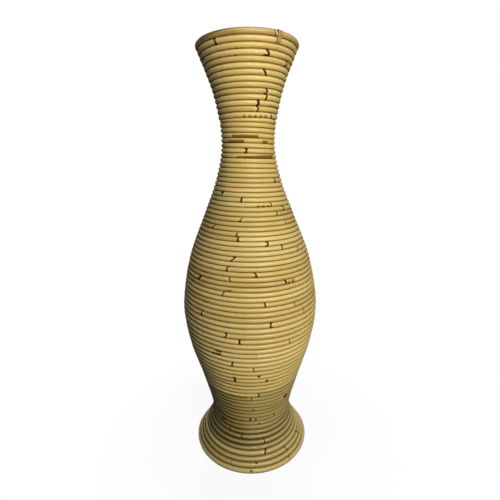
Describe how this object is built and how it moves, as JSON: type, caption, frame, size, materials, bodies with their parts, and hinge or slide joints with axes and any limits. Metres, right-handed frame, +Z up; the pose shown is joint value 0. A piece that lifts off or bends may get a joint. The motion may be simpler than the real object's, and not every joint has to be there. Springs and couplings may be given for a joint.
{
  "type": "rattan floor vase",
  "caption": "Tall slender floor vase with a flared foot, full belly, narrow neck and trumpet mouth, coiled from round rattan cane, for dried stems and branches.",
  "frame": {"origin": "centre of the circle that the vase stands on, at the ground", "axes": "+Z up along the vase's axis; the front, seen in the picture, faces -Y, and +X is to its right"},
  "size_m": [0.2713, 0.2714, 0.8022],
  "materials": {
    "cane_pale": "varnished straw-yellow rattan",
    "cane_golden": "varnished golden rattan",
    "cane_brown": "varnished brown rattan",
    "peel": "split rattan peel, satin",
    "plywood": "bare plywood",
    "steel": "darkened steel nail"
  },
  "bodies": {
    "root": {"foot_ring_01": "cane_pale", "foot_ring_02": "cane_golden", "foot_ring_03": "cane_pale", "foot_ring_04": "cane_golden", "foot_ring_05": "cane_pale", "foot_ring_06": "cane_golden", "foot_ring_07": "cane_pale", "foot_ring_08": "cane_golden", "foot_ring_09": "cane_pale", "foot_ring_10": "cane_golden", "floor_disc": "plywood", "floor_brad_1": "steel", "floor_brad_2": "steel", "floor_brad_3": "steel", "floor_brad_4": "steel", "body_cane_01": "cane_golden", "body_cane_02": "cane_pale", "body_cane_03": "cane_pale", "body_cane_04": "cane_golden", "body_cane_05": "cane_pale", "body_cane_06": "cane_pale", "body_cane_07": "cane_golden", "body_cane_08": "cane_pale", "body_cane_09": "cane_pale", "body_cane_10": "cane_golden", "body_cane_11": "cane_pale", "body_cane_12": "cane_pale", "body_cane_13": "cane_golden", "body_cane_14": "cane_pale", "body_cane_15": "cane_pale", "body_cane_16": "cane_golden", "body_cane_17": "cane_pale", "body_cane_18": "cane_pale", "body_cane_19": "cane_golden", "body_cane_20": "cane_pale", "mouth_ring_01": "cane_pale", "mouth_ring_02": "cane_golden", "mouth_ring_03": "cane_pale", "mouth_ring_04": "cane_golden", "mouth_ring_05": "cane_pale", "mouth_ring_06": "cane_golden", "mouth_ring_07": "cane_pale", "mouth_ring_08": "cane_golden", "mouth_ring_09": "cane_pale", "mouth_ring_10": "cane_golden", "mouth_ring_11": "cane_pale", "mouth_ring_12": "cane_golden", "mouth_ring_13": "cane_pale", "mouth_ring_14": "cane_brown", "lip_binding": "peel"}
  },
  "joints": []
}
